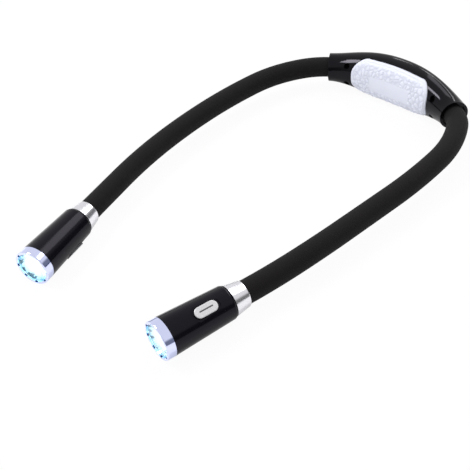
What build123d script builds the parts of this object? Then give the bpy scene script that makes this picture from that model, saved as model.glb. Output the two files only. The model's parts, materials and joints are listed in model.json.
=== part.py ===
from build123d import *
from math import asin, cos, degrees, radians, sin, sqrt
import os

# Neck reading light: a curved housing that lies behind the neck, two bendable arms and a lamp head on each.
# The origin is on the table under the middle of the housing, X runs along the housing, the arms reach
# towards -Y and Z is up. Sizes are in millimetres and angles in degrees.

# Housing: an egg-shaped section carried along a level arc, swelling from round collars to its middle
spine_radius = 99.0
spine_half_angle = 32.0
collar_radius = 9.9
middle_half_height = 16.1
middle_inner_depth = 12.8
middle_outer_depth = 6.6
housing_wall = 1.8
land_depth = 0.6
seam_gap = 0.1
round_handle_share = 0.5523
middle_inner_handle_share = 0.66
middle_outer_handle_share = 0.80
station_shares = [-1.0, -0.8, -0.6, -0.4, -0.2, 0.0, 0.2, 0.4, 0.6, 0.8, 1.0]
open_end_share = 1.06
swell_power = 2.6

# Neck pad, sunk into the concave face between the screws
pad_screw_spacing = 4.4
pad_end_height = 25.4
pad_bulge = 1.5
pad_corner_radius = 9.5
pad_sink = 0.8
pad_seat_gap = 0.15
pad_crown = 3.0
pad_rim_crown = 1.1
pad_rim_width = 1.2
pad_side_gap = 0.3

# Battery door on the convex face: a plate that rests on a ledge, and a plug that fills the opening
door_end_inset = 0.55
door_side_margin = 0.7
door_corner_radius = 3.0
door_end_ledge = 1.1
door_side_ledge = 0.5
door_plate_thickness = 0.9
door_clearance = 0.2
nail_notch_radius = 5.0
nail_notch_depth = 0.5
nail_notch_height = 7.0

# Cells, their tray and contacts
cell_diameter = 10.5
cell_body_length = 43.7
cell_nub_diameter = 3.8
cell_nub_height = 0.8
cell_gap = 0.4
cell_axis_depth = 4.1
cell_clearance = 0.2
tray_end_wall = 1.2
tray_rim_depth = 2.6
tray_clearance = 0.25
spring_length = 3.4
spring_radius = 2.6
spring_wire = 0.6
spring_turns = 3
plate_thickness = 0.4
plate_width = 5.6
plate_height = 8.4
plate_drop = 2.0

# Driver board beside the tray, on two posts
board_thickness = 1.0
board_length = 8.8
board_height = 7.4
board_depth = 3.6
chip_length = 4.6
chip_height = 3.4
chip_thickness = 1.0
post_diameter = 2.2
post_spacing = 5.6
seat_gap = 0.1

# Screws that close the shells, two at each end of the pad
screw_place_share = 0.53
screw_half_spacing = 6.9
screw_seat_depth = 3.6
screw_head_diameter = 3.6
screw_head_height = 1.4
screw_shank_diameter = 2.0
screw_length = 7.6
screw_hole_diameter = 4.0
screw_slot_width = 0.6
screw_slot_depth = 0.6
screw_slot_share = 0.75
boss_diameter = 5.6
screw_clearance = 0.1

# Arms: a soft round sleeve over a bendable core wire and two leads. Each arm is six runs, from the collar
# to the head, and each run turns by its own angle. The arm bends at its joints in the runs named bend.
arm_diameter = 14.0
sleeve_bore = 6.0
left_root_run = 19.0
right_root_run = 13.0
first_bend_run = 40.0
mid_run = 48.0
second_bend_run = 40.0
left_front_run = 46.4
right_front_run = 40.0
third_bend_run = 36.0
left_turns = [22.1, 28.0, 8.6, 5.8, 8.1, 0.0]
right_turns = [-29.8, -24.8, -7.8, 0.0, -2.5, -4.3]
core_wire_diameter = 2.5
core_tab_width = 5.0
core_tab_thickness = 1.6
core_tab_length = 1.5
lead_diameter = 1.2
lead_gap = 0.15
lead_tail = 5.0
wire_clearance = 0.2
link_lead_bend = 4.0
splice_gap = 0.3

# Arm anchors inside the collars: a cup that grips the end of each sleeve
anchor_recess = 2.6
anchor_grip = 3.9
anchor_floor = 2.0
anchor_clearance = 0.15
grip_clearance = 0.1

# Lamp heads, measured from the arm's end forwards
ferrule_length = 10.0
ferrule_rear_diameter = 15.6
ferrule_front_diameter = 18.8
ferrule_edge_radius = 0.8
spigot_diameter = 12.6
spigot_length = 4.0
ferrule_web = 2.0
swivel_diameter = 13.0
swivel_lip_diameter = 14.2
swivel_lip_length = 1.8
swivel_length = 3.8
swivel_bore = 7.0
swivel_slot_width = 1.2
swivel_clearance = 0.08
turning_gap = 0.2
barrel_length = 40.6
barrel_rear_diameter = 20.0
barrel_front_diameter = 23.0
barrel_shoulder_radius = 1.6
barrel_rear_wall = 2.6
barrel_wall = 1.5
bezel_length = 5.3
bezel_edge_radius = 0.6
bezel_lip_width = 1.75
bezel_wall = 1.4
bezel_ledge = 1.0
bezel_collar_length = 5.0
bezel_collar_wall = 1.0
bezel_notch_count = 8
bezel_notch_width = 2.0
bezel_notch_depth = 0.9
lens_thickness = 1.4
lens_recess = 0.9
reflector_wall = 0.7
reflector_throat = 5.6
led_board_thickness = 1.2
led_width = 3.4
led_height = 0.8
led_dome_diameter = 2.9
fit_clearance = 0.1
lamp_lead_spacing = 6.0

# Push button on each barrel, over a small switch on its board
button_length = 14.2
button_width = 6.4
button_rise = 0.7
button_travel = 0.5
button_clearance = 0.2
button_edge_radius = 0.5
button_from_rear = 17.0
button_groove_length = 8.5
button_groove_width = 0.5
button_groove_depth = 0.3
button_surround = 1.7
button_surround_depth = 0.8
flange_margin = 0.9
flange_thickness = 0.8
flange_top = 7.4
switch_width = 6.2
switch_plunger_diameter = 3.4
switch_plunger_height = 1.0
switch_clearance = 0.1
switch_board_top = 2.4
switch_board_gap = 0.7
switch_board_front_share = 0.64
switch_board_thickness = 1.2
left_button_angle = -130.0
right_button_angle = -30.6

# One length that every cut runs past the faces it opens
overrun = 2.0

# Places that follow from the sizes above
axis_height = middle_half_height - land_depth
mouth_drop = spine_radius * (1 - cos(radians(spine_half_angle)))
mouth_place = spine_radius * sin(radians(spine_half_angle))
housing_depth = middle_inner_depth + middle_outer_depth + mouth_drop
cell_spacing = cell_diameter + cell_gap
bay_half_length = (cell_body_length + cell_nub_height + spring_length) / 2
tray_end = bay_half_length + plate_thickness + tray_end_wall
door_length = 2 * (bay_half_length - door_end_inset)
door_height = cell_spacing + cell_diameter + 2 * door_side_margin
lead_offset = core_wire_diameter / 2 + lead_gap + lead_diameter / 2
wire_slot_length = 2 * lead_offset + lead_diameter + wire_clearance
wire_slot_width = core_wire_diameter + 2 * wire_clearance
anchor_depth = anchor_recess + anchor_grip
tab_depth = anchor_depth + anchor_floor
anchor_end = spine_radius * sin(radians(spine_half_angle) - tab_depth / spine_radius)
screw_offset = tray_end + (anchor_end - tray_end) * screw_place_share
pad_length = 2 * (screw_offset - pad_screw_spacing)
left_runs = [left_root_run, first_bend_run, mid_run, second_bend_run, left_front_run, third_bend_run]
right_runs = [right_root_run, first_bend_run, mid_run, second_bend_run, right_front_run, third_bend_run]
barrel_start = ferrule_length + turning_gap
barrel_end = ferrule_length + barrel_length
head_length = barrel_end + bezel_length
button_place = barrel_start + button_from_rear
barrel_slope = (barrel_front_diameter - barrel_rear_diameter) / 2 / (barrel_end - barrel_start)
button_crest = barrel_rear_diameter / 2 + barrel_slope * button_from_rear
counterbore_radius = barrel_front_diameter / 2 - barrel_wall
led_board_front = barrel_end - bezel_collar_length - fit_clearance / 2
led_board_back = led_board_front - led_board_thickness
switch_board_rear = barrel_start + barrel_rear_wall + switch_board_gap
switch_board_front = button_place + (led_board_back - button_place) * switch_board_front_share


def mix(start, end, share):
    return start + (end - start) * share


# Housing shapes

def spine_plane(share):
    """The section plane at a share of the spine's half angle, its x outward and its y up."""
    angle = radians(spine_half_angle * share)
    outward = (sin(angle), cos(angle), 0)
    place = Vector(*outward) * spine_radius + Vector(0, -spine_radius, axis_height)
    return Plane(origin=place, x_dir=outward, z_dir=(cos(angle), -sin(angle), 0))


def spine_y(x):
    return sqrt(spine_radius**2 - x**2) - spine_radius


def egg_section(half_height, inner, outer, inner_handle, outer_handle):
    """Four quarter curves: flatter on the outer side, fuller on the side that meets the neck."""
    return make_face([
        Bezier((outer, 0), (outer, outer_handle * half_height), (outer_handle * outer, half_height),
               (0, half_height)),
        Bezier((0, half_height), (-inner_handle * inner, half_height), (-inner, inner_handle * half_height),
               (-inner, 0)),
        Bezier((-inner, 0), (-inner, -inner_handle * half_height), (-inner_handle * inner, -half_height),
               (0, -half_height)),
        Bezier((0, -half_height), (outer_handle * outer, -half_height), (outer, -outer_handle * half_height),
               (outer, 0)),
    ])


def housing_form(inset, crown=0.0, reach_share=1.0):
    """The housing's outside, drawn in all round by an inset and fuller on the neck side by a crown."""
    sections = []
    for station in station_shares:
        share = station * reach_share
        swell = max(0, 1 - abs(share) ** swell_power) ** 2
        section = egg_section(
            mix(collar_radius, middle_half_height, swell) - inset,
            mix(collar_radius, middle_inner_depth, swell) - inset + crown * swell,
            mix(collar_radius, middle_outer_depth, swell) - inset,
            mix(round_handle_share, middle_inner_handle_share, swell),
            mix(round_handle_share, middle_outer_handle_share, swell),
        )
        sections.append(spine_plane(share) * section)
    return loft(sections)


def spine_cylinder(radius):
    height = 2 * middle_half_height + 2 * overrun
    return Pos(0, -spine_radius, axis_height) * Cylinder(radius, height)


def face_prism(outline, start_y, end_y):
    """An outline drawn in x and z, centred on the housing's axis height, run between two depths."""
    return extrude(Plane.XZ.offset(-end_y) * Pos(0, axis_height) * outline, end_y - start_y)


def y_cylinder(x, z, diameter, start_y, end_y):
    return face_prism(Pos(x, z) * Circle(diameter / 2), start_y, end_y)


def screw_places():
    return [(x, z) for x in (-screw_offset, screw_offset)
            for z in (-screw_half_spacing, screw_half_spacing)]


def screw_seat_y():
    return spine_y(screw_offset) - screw_seat_depth


def screw_bosses(start_y, end_y):
    return [y_cylinder(x, z, boss_diameter, start_y, end_y) for x, z in screw_places()]


def board_plane():
    """The section plane midway between the tray's end and the arm anchor's, at the board's own depth."""
    tray_side = degrees(asin(tray_end / (spine_radius - board_depth - board_thickness)))
    anchor_side = spine_half_angle - degrees(tab_depth / spine_radius)
    return spine_plane((tray_side + anchor_side) / 2 / spine_half_angle)


def board_posts():
    """Two posts on the inner wall that hold the driver board."""
    length = collar_radius + middle_inner_depth
    posts = []
    for along in (-post_spacing / 2, post_spacing / 2):
        far_end = -board_depth - board_thickness - seat_gap - length / 2
        lying = Location((far_end, 0, along), (0, 90, 0))
        posts.append(board_plane().location * lying * Cylinder(post_diameter / 2, length))
    return posts


def housing_shells():
    """The outer and inner shells, parted along the spine at the ridge."""
    form = housing_form(0)
    hollow = form - housing_form(housing_wall, reach_share=open_end_share)
    table = Pos(0, -spine_radius / 2, -overrun) * Box(4 * spine_radius, 4 * spine_radius, 2 * overrun)
    inside = spine_cylinder(spine_radius - seam_gap / 2)
    outside = spine_cylinder(spine_radius + seam_gap / 2)
    back = middle_outer_depth + overrun

    outer_shell = hollow - outside
    bosses = [(boss & form) - outside for boss in screw_bosses(screw_seat_y(), back)]
    pilot = screw_shank_diameter + screw_clearance
    tips = screw_seat_y() + screw_length + screw_clearance
    holes = [y_cylinder(x, z, pilot, screw_seat_y(), tips) for x, z in screw_places()]
    outer_shell = (outer_shell + bosses) - holes - table - door_opening()

    front = -housing_depth - overrun
    inner_shell = hollow & inside
    bosses = [boss & form & inside for boss in screw_bosses(front, 0)]
    posts = [post & form & inside for post in board_posts()]
    inner_shell = inner_shell + bosses + posts
    heads = [y_cylinder(x, z, screw_hole_diameter, front, screw_seat_y()) for x, z in screw_places()]
    shank_hole = screw_shank_diameter + 2 * screw_clearance
    shanks = [y_cylinder(x, z, shank_hole, front, 0) for x, z in screw_places()]
    recess = pad_prism(pad_side_gap) - housing_form(pad_sink + pad_seat_gap)
    inner_shell = inner_shell - heads - shanks - recess - table
    return outer_shell, inner_shell


def pad_prism(grow):
    """A rounded oblong whose long sides bulge with the housing."""
    x = pad_length / 2 + grow
    z = pad_end_height / 2 + grow
    outline = make_face([
        Line((x, -z), (x, z)),
        ThreePointArc((x, z), (0, z + pad_bulge), (-x, z)),
        Line((-x, z), (-x, -z)),
        ThreePointArc((-x, -z), (0, -z - pad_bulge), (x, -z)),
    ])
    outline = fillet(outline.vertices(), pad_corner_radius + grow)
    return face_prism(outline, -housing_depth - overrun, -middle_outer_depth / 2)


def neck_pad():
    """The soft pad: a low rim and a crowned middle drawn in from it, with its back in the shell's recess."""
    rim = pad_prism(0) & housing_form(0, crown=pad_rim_crown)
    middle = pad_prism(-pad_rim_width) & housing_form(0, crown=pad_crown)
    return rim + middle - housing_form(pad_sink)


def door_outline(trim_x, trim_z):
    return RectangleRounded(door_length - 2 * trim_x, door_height - 2 * trim_z, door_corner_radius - trim_z)


def door_regions(play):
    """The plate's and the plug's regions of the wall, each drawn in from the opening by the play."""
    back = middle_outer_depth + overrun
    outer_side = spine_cylinder(spine_radius + seam_gap / 2)
    plate = face_prism(door_outline(play, play), -mouth_drop, back) - outer_side
    plug_outline = door_outline(door_end_ledge + play, door_side_ledge + play)
    plug = face_prism(plug_outline, -mouth_drop, back) - outer_side
    return plate, plug


def door_opening():
    plate, plug = door_regions(0)
    return [plate - housing_form(door_plate_thickness + seat_gap), plug]


def battery_door():
    plate, plug = door_regions(door_clearance)
    ledge_form = housing_form(door_plate_thickness)
    wall = housing_form(0) - housing_form(housing_wall)
    door = ((wall - ledge_form) & plate) + (wall & plug)
    notch_x = door_length / 2 - nail_notch_height / 2
    notch_y = spine_y(notch_x) + middle_outer_depth + nail_notch_radius - nail_notch_depth
    notch = Pos(notch_x, notch_y, axis_height) * Cylinder(nail_notch_radius, nail_notch_height)
    return door - notch


def cell_ends(side):
    """The x of the spring end and of the flat contact end of the cell above (1) or below (-1)."""
    return -side * bay_half_length, side * bay_half_length


def x_cylinder(radius, start_x, end_x, z):
    turned = Location(((start_x + end_x) / 2, -cell_axis_depth, axis_height + z), (0, 90, 0))
    return turned * Cylinder(radius, abs(end_x - start_x))


def battery_cells():
    """Two cells, one above the other and end for end, so that they are in series."""
    cells = []
    for side in (1, -1):
        spring_end, contact_end = cell_ends(side)
        base = spring_end + side * spring_length
        shoulder = contact_end - side * cell_nub_height
        body = x_cylinder(cell_diameter / 2, base, shoulder, side * cell_spacing / 2)
        nub = x_cylinder(cell_nub_diameter / 2, shoulder, contact_end, side * cell_spacing / 2)
        cells.append(body + nub)
    return cells


def cell_tray():
    """A cradle shaped to the inner wall, with a trough for each cell and a channel for the link leads."""
    rim = -tray_rim_depth
    block = face_prism(Rectangle(2 * tray_end, 2 * middle_half_height), -housing_depth, rim)
    tray = block & housing_form(housing_wall + tray_clearance)
    pocket = bay_half_length + plate_thickness
    for side in (1, -1):
        tray -= x_cylinder(cell_diameter / 2 + cell_clearance, -pocket, pocket, side * cell_spacing / 2)
    mouth = Rectangle(2 * pocket, cell_spacing + cell_diameter + 2 * cell_clearance)
    tray -= face_prism(mouth, -cell_axis_depth, overrun)
    channel = Rectangle(2 * tray_end + overrun, lead_diameter + 2 * wire_clearance)
    return tray - face_prism(channel, link_lead_depths()[1] - lead_diameter / 2 - wire_clearance, overrun)


def plate_face(height):
    middle = plate_drop / 2 - cell_axis_depth
    return Pos(middle, 0) * Rectangle(plate_width, height)


def contact_plates():
    """A plate across both cells at one end and one for each cell at the other, on the tray's end walls."""
    upright = Plane(origin=(bay_half_length, 0, axis_height), x_dir=(0, 1, 0), z_dir=(1, 0, 0))
    plates = [extrude(upright * Pos(0, side * cell_spacing / 2) * plate_face(plate_height), plate_thickness)
              for side in (1, -1)]
    bridge = extrude(upright * plate_face(cell_spacing + plate_height), plate_thickness)
    plates.append(Pos(-2 * bay_half_length - plate_thickness, 0, 0) * bridge)
    return plates


def contact_springs():
    """A coil at the flat end of each cell."""
    springs = []
    slack = spring_wire / 2 + seat_gap / 2
    height = spring_length - 2 * slack
    for side in (1, -1):
        start = cell_ends(side)[0] + side * slack
        centre = (start, -cell_axis_depth, axis_height + side * cell_spacing / 2)
        coil = Helix(height / spring_turns, height, spring_radius, center=centre, direction=(side, 0, 0))
        section = Plane(origin=coil @ 0, z_dir=coil % 0) * Circle(spring_wire / 2)
        springs.append(sweep(section, path=coil, is_frenet=True))
    return springs


def driver_board():
    frame = board_plane().location
    board = Pos(-board_depth - board_thickness / 2, 0, 0) * Box(board_thickness, board_height, board_length)
    chip = Pos(-board_depth + chip_thickness / 2, 0, 0) * Box(chip_thickness, chip_height, chip_length)
    return frame * (board + chip)


def shell_screws():
    """Pan-head screws with a cross slot, driven from the neck side."""
    screws = []
    for x, z in screw_places():
        seat = screw_seat_y()
        head = y_cylinder(x, z, screw_head_diameter, seat - screw_head_height, seat)
        shank = y_cylinder(x, z, screw_shank_diameter, seat, seat + screw_length)
        slot = Rectangle(screw_slot_width, screw_head_diameter * screw_slot_share)
        cross = Pos(x, z) * (slot + Rot(0, 0, 90) * slot)
        face = seat - screw_head_height
        screws.append(head + shank - face_prism(cross, face - overrun, face + screw_slot_depth))
    return screws


# Arms, laid out in a plane of their own that starts at the line between the collars' mouths

def arm_path(side, first, last, inside=0.0, beyond=0.0):
    """An arm's centreline from one run to another: run 0 lies inside the housing and run 7 in the head."""
    runs, turns = (right_runs, right_turns) if side > 0 else (left_runs, left_turns)
    inside_turn = -side * degrees(inside / spine_radius)
    heading = (0 if side > 0 else 180) - side * spine_half_angle - inside_turn
    back = radians(spine_half_angle) - inside / spine_radius
    place = Vector(side * spine_radius * sin(back), spine_radius * cos(back) - spine_radius + mouth_drop)
    steps = [(inside, inside_turn)] + list(zip(runs, turns)) + [(beyond, 0)]
    edges = []
    for number, (length, turn) in enumerate(steps):
        if length > 0:
            forward = Vector(cos(radians(heading)), sin(radians(heading)))
            if turn == 0:
                edge = Line(place, place + forward * length)
            else:
                edge = JernArc(place, forward, length / radians(abs(turn)), turn)
            if first <= number <= last:
                edges.append(edge)
            place = edge @ 1
        heading += turn
    return edges, place, heading


def arm_tilt():
    """How far the arms slope so that the bezels' undersides come down to the table."""
    reaches = []
    for side in (-1, 1):
        edges, place, heading = arm_path(side, 0, 6)
        reaches.append(-place.Y - head_length * sin(radians(heading)))
    return degrees(asin((axis_height - barrel_front_diameter / 2) / max(reaches)))


arm_frame = Pos(0, -mouth_drop, axis_height) * Rot(arm_tilt(), 0, 0)


def round_bar(edges, diameter, raised=0.0):
    path = Wire(edges)
    section = Plane(origin=path @ 0, z_dir=path % 0) * Circle(diameter / 2)
    return arm_frame * Pos(0, 0, raised) * sweep(section, path=path)


def sleeve(side, first, last, inside=0.0):
    edges = arm_path(side, first, last, inside)[0]
    return round_bar(edges, arm_diameter) - round_bar(edges, sleeve_bore)


def end_sleeve(side):
    """The last stretch of sleeve, whose end is squeezed into the ferrule."""
    spigot = arm_path(side, 7, 7, beyond=spigot_length)[0]
    return sleeve(side, 6, 6) + (round_bar(spigot, spigot_diameter) - round_bar(spigot, sleeve_bore))


def core_wire(side, first, last, inside=0.0, beyond=0.0):
    """A stretch of the wire that holds the arm's shape, with a flattened tab at each end of the whole wire."""
    wire = round_bar(arm_path(side, first, last, inside, beyond)[0], core_wire_diameter)
    if inside > 0:
        edges = arm_path(side, 0, 0, inside + core_tab_length)[0]
        wire += flat_tab(Plane(origin=edges[0] @ 0, x_dir=(0, 0, 1), z_dir=edges[0] % 0))
    if beyond > 0:
        end = arm_path(side, 7, 7, beyond=spigot_length + seat_gap + ferrule_web)[0][0]
        wire += flat_tab(Plane(origin=end @ 1, x_dir=(0, 0, 1), z_dir=end % 1))
    return wire


def flat_tab(plane):
    tab = Rectangle(core_tab_thickness, core_tab_width)
    return arm_frame * extrude(plane * tab, core_tab_length)


def leads(side, first, last, inside=0.0, beyond=0.0):
    edges = arm_path(side, first, last, inside, beyond)[0]
    return [round_bar(edges, lead_diameter, raised=level * lead_offset) for level in (1, -1)]


def wire_slot():
    return SlotOverall(wire_slot_length, wire_slot_width)


def arm_anchor(side):
    """The cup in the collar: its ring grips the sleeve and its floor is slotted for the wires."""
    outside = 2 * (collar_radius - housing_wall - anchor_clearance)
    whole = arm_path(side, 0, 0, tab_depth)[0][0]
    cup_share = (tab_depth - anchor_recess) / tab_depth
    floor_share = anchor_floor / tab_depth
    cup_edge = whole.trim(0, cup_share)
    grip_edge = whole.trim(floor_share, 1)
    cup = round_bar([cup_edge], outside) & housing_form(housing_wall + anchor_clearance)
    cup -= round_bar([grip_edge], arm_diameter + 2 * grip_clearance)
    start = Plane(origin=whole @ 0, x_dir=(0, 0, 1), z_dir=whole % 0)
    slot = arm_frame * extrude(start.offset(-overrun) * wire_slot(), anchor_floor + 2 * overrun)
    return cup - slot


def link_lead_depths():
    """The y of the two leads that pass behind the cells."""
    nearest = sqrt((cell_diameter / 2 + wire_clearance + lead_diameter / 2) ** 2 - (cell_spacing / 2) ** 2)
    first = -cell_axis_depth - nearest
    return first, first - lead_diameter - wire_clearance


def link_leads():
    """The left arm's leads, carried on past the cells to the driver board."""
    board_edge = Pos(-board_depth - board_thickness / 2, 0, -board_length / 2 - seat_gap)
    board_end = (board_plane().location * board_edge).position.X
    wires = []
    for depth, level in zip(link_lead_depths(), (1, -1)):
        start = arm_path(-1, 0, 0, tab_depth + lead_tail + splice_gap)[0][0] @ 0
        start = (arm_frame * Pos(start.X, start.Y, level * lead_offset)).position
        corner = Vector(-tray_end, depth, axis_height)
        end = Vector(board_end - seat_gap, depth, axis_height)
        path = FilletPolyline(start, corner, end, radius=link_lead_bend)
        section = Plane(origin=path @ 0, z_dir=path % 0) * Circle(lead_diameter / 2)
        wires.append(sweep(section, path=path))
    return wires


# Heads, modelled along Z from the arm's end with the button towards X

def ring(outer, inner, start, end):
    tube = Cylinder(outer, end - start) - Cylinder(inner, end - start + 2 * overrun)
    return Pos(0, 0, (start + end) / 2) * tube


def bar(radius, start, end):
    return Pos(0, 0, (start + end) / 2) * Cylinder(radius, end - start)


def cone(start_radius, end_radius, start, end):
    return Pos(0, 0, (start + end) / 2) * Cone(start_radius, end_radius, end - start)


def ferrule():
    """The bright cone that holds the sleeve's end and carries the head's swivel."""
    spigot_end = spigot_length + seat_gap
    socket_start = spigot_end + ferrule_web
    lip_end = barrel_start - swivel_length + swivel_lip_length + seat_gap
    body = cone(ferrule_rear_diameter / 2, ferrule_front_diameter / 2, 0, ferrule_length)
    rear = body.edges().filter_by(GeomType.CIRCLE).sort_by(Axis.Z)[0]
    body = fillet(rear, ferrule_edge_radius)
    body -= bar(spigot_diameter / 2 + grip_clearance, -overrun, spigot_end)
    body -= bar(swivel_lip_diameter / 2 + swivel_clearance, socket_start, lip_end)
    body -= bar(swivel_diameter / 2 + swivel_clearance, socket_start, ferrule_length + overrun)
    slot = extrude(wire_slot(), socket_start + overrun)
    return body - slot


def swivel_neck():
    """The barrel's hollow neck, with a snap lip in four fingers that turns in the ferrule's groove."""
    start = barrel_start - swivel_length
    neck = bar(swivel_diameter / 2, start, barrel_start + barrel_rear_wall / 2)
    neck += bar(swivel_lip_diameter / 2, start, start + swivel_lip_length)
    slot = Box(swivel_lip_diameter + overrun, swivel_slot_width, 2 * swivel_length - 2 * turning_gap)
    cross = slot + Rot(0, 0, 90) * slot
    return neck - Pos(0, 0, start) * cross


def button_plane(radius):
    return Plane(origin=(radius, 0, button_place), x_dir=(0, 0, 1), z_dir=(1, 0, 0))


def button_prism(grow, start, end):
    outline = SlotOverall(button_length + 2 * grow, button_width + 2 * grow)
    return extrude(button_plane(start) * outline, end - start)


def barrel():
    rear_radius = barrel_rear_diameter / 2
    front_radius = barrel_front_diameter / 2
    body = cone(rear_radius, front_radius, barrel_start, barrel_end)
    shoulder = body.edges().filter_by(GeomType.CIRCLE).sort_by(Axis.Z)[0]
    body = fillet(shoulder, barrel_shoulder_radius)
    body += swivel_neck()
    body -= cone(rear_radius - barrel_wall, front_radius - barrel_wall,
                 barrel_start + barrel_rear_wall, barrel_end)
    body -= bar(counterbore_radius, led_board_back, barrel_end + overrun)
    body -= bar(swivel_bore / 2, 0, barrel_end)
    floor = button_crest - button_surround_depth
    body -= button_prism(button_surround, floor, button_crest + overrun)
    return body - button_prism(button_clearance, 0, button_crest + overrun)


def bezel():
    """The bright front ring, pushed into the barrel on its collar, with a notched lip before the lens."""
    outer = barrel_front_diameter / 2
    lip_start = head_length - lens_recess
    body = ring(outer, outer - bezel_wall, barrel_end, head_length)
    front = body.edges().filter_by(GeomType.CIRCLE).group_by(Axis.Z)[-1].sort_by(SortBy.LENGTH)[-1]
    body = fillet(front, bezel_edge_radius)
    body += ring(outer - bezel_wall / 2, outer - bezel_lip_width, lip_start, head_length)
    collar = counterbore_radius - fit_clearance
    bore = collar - bezel_collar_wall
    body += ring(collar, bore, barrel_end - bezel_collar_length, barrel_end + bezel_ledge)
    body += ring(outer - bezel_wall / 2, bore, barrel_end, barrel_end + bezel_ledge)
    notch = Box(bezel_lip_width, bezel_notch_width, bezel_notch_depth)
    for number in range(bezel_notch_count):
        turned = Rot(0, 0, 360 * number / bezel_notch_count)
        body -= turned * Pos(outer - bezel_lip_width, 0, head_length - bezel_notch_depth / 2) * notch
    return body


def lens():
    front = head_length - lens_recess
    radius = barrel_front_diameter / 2 - bezel_wall - fit_clearance
    return bar(radius, front - lens_thickness, front)


def reflector():
    """A polished bowl whose curve opens from the lamp's throat to a rim behind the lens."""
    front = head_length - lens_recess - lens_thickness - fit_clearance
    start = led_board_front + fit_clearance
    rim_radius = barrel_front_diameter / 2 - bezel_wall - fit_clearance
    mouth = rim_radius - reflector_wall
    throat = reflector_throat / 2
    depth = front - start
    four_focal = (mouth**2 - throat**2) / depth
    handle = ((throat + mouth) / 2, start + throat * (mouth - throat) / four_focal)
    inner = Bezier((throat, start), handle, (mouth, front))
    outer = Pos(reflector_wall, 0) * inner
    face = make_face([inner, outer, Line(inner @ 0, outer @ 0), Line(inner @ 1, outer @ 1)])
    return revolve(Plane.XZ * face, Axis.Z)


def led_board():
    return bar(counterbore_radius - fit_clearance, led_board_back, led_board_front)


def led():
    base = Pos(0, 0, led_board_front + led_height / 2) * Box(led_width, led_width, led_height)
    top = led_board_front + led_height
    dome = Pos(0, 0, top) * Sphere(led_dome_diameter / 2) - bar(led_dome_diameter, top - led_width, top)
    return base + dome


def lamp_leads():
    """Two short leads from the switch board to the lamp's board."""
    level = switch_board_top - switch_board_thickness / 2
    return [Pos(level, across, 0) * bar(lead_diameter / 2, switch_board_front, led_board_back)
            for across in (-lamp_lead_spacing / 2, lamp_lead_spacing / 2)]


def switch_board():
    """The board under the button, held by its edges in the barrel."""
    bore = barrel_rear_diameter / 2 - barrel_wall
    width = 2 * sqrt(bore**2 - switch_board_top**2) - 2 * button_clearance
    length = switch_board_front - switch_board_rear
    middle = switch_board_top - switch_board_thickness / 2
    place = Pos(middle, 0, switch_board_rear + length / 2)
    return place * Box(switch_board_thickness, width, length)


def switch():
    top = flange_top - flange_thickness - button_travel - switch_clearance
    shoulder = top - switch_plunger_height
    height = shoulder - switch_board_top
    case = Pos((shoulder + switch_board_top) / 2, 0, button_place) * Box(height, switch_width, switch_width)
    plunger = extrude(button_plane(shoulder) * Circle(switch_plunger_diameter / 2), switch_plunger_height)
    return case + plunger


def button():
    """The oblong cap with a groove along it, and the flange that keeps it in the barrel."""
    top = button_crest + button_rise
    cap = button_prism(0, flange_top, top)
    cap = fillet(cap.faces().sort_by(Axis.X)[-1].edges(), button_edge_radius)
    cap += button_prism(flange_margin, flange_top - flange_thickness, flange_top)
    groove = SlotOverall(button_groove_length, button_groove_width)
    return cap - extrude(button_plane(top - button_groove_depth) * groove, overrun)


def placed_head(side, piece, turned=True):
    """A head piece carried to the arm's end, turned about its axis to where its button faces."""
    place, heading = arm_path(side, 0, 6)[1:]
    forward = (cos(radians(heading)), sin(radians(heading)), 0)
    frame = Plane(origin=place, x_dir=(0, 0, 1), z_dir=forward).location
    angle = right_button_angle if side > 0 else left_button_angle
    turn = Rot(0, 0, angle if turned else 0)
    pieces = piece if isinstance(piece, list) else [piece]
    return [arm_frame * frame * turn * single for single in pieces]


# Every named piece

def housing_pieces():
    outer_shell, inner_shell = housing_shells()
    return {
        "outer_shell": outer_shell,
        "inner_shell": inner_shell,
        "neck_pad": neck_pad(),
        "battery_door": battery_door(),
        "cell_tray": cell_tray(),
        "battery_cells": battery_cells(),
        "contact_plates": contact_plates(),
        "contact_springs": contact_springs(),
        "driver_board": driver_board(),
        "link_leads": link_leads(),
        "shell_screws": shell_screws(),
    }


def arm_pieces(side):
    head_tail = spigot_length + seat_gap + ferrule_web
    return {
        "arm_anchor": arm_anchor(side),
        "sleeve_root": sleeve(side, 0, 1, anchor_depth),
        "sleeve_bend_1": sleeve(side, 2, 2),
        "sleeve_mid": sleeve(side, 3, 3),
        "sleeve_bend_2": sleeve(side, 4, 4),
        "sleeve_front": sleeve(side, 5, 5),
        "sleeve_bend_3": end_sleeve(side),
        "core_wire_1": core_wire(side, 0, 2, inside=tab_depth + seat_gap),
        "core_wire_2": core_wire(side, 3, 4),
        "core_wire_3": core_wire(side, 5, 7, beyond=head_tail),
        "leads_1": leads(side, 0, 2, inside=tab_depth + lead_tail),
        "leads_2": leads(side, 3, 4),
        "leads_3": leads(side, 5, 7, beyond=barrel_start + barrel_rear_wall),
    }


def head_pieces(side):
    pieces = {"ferrule": placed_head(side, ferrule(), turned=False)}
    for make in (barrel, bezel, lens, reflector, led_board, led, lamp_leads, switch_board, switch, button):
        pieces[make.__name__] = placed_head(side, make())
    return pieces


def every_piece():
    pieces = housing_pieces()
    for side, name in ((-1, "left"), (1, "right")):
        for part, solid in (arm_pieces(side) | head_pieces(side)).items():
            pieces[name + "_" + part] = solid
    return pieces


os.makedirs("parts", exist_ok=True)
for name, solid in every_piece().items():
    solids = [one for item in (solid if isinstance(solid, list) else [solid]) for one in item.solids()]
    export_step(Compound(children=solids) if len(solids) > 1 else solids[0], "parts/" + name + ".step")
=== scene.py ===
import json
from math import ceil, cos, exp, hypot, radians, sin
import bmesh
import bpy
from mathutils import Euler, Matrix, Vector, noise


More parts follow.
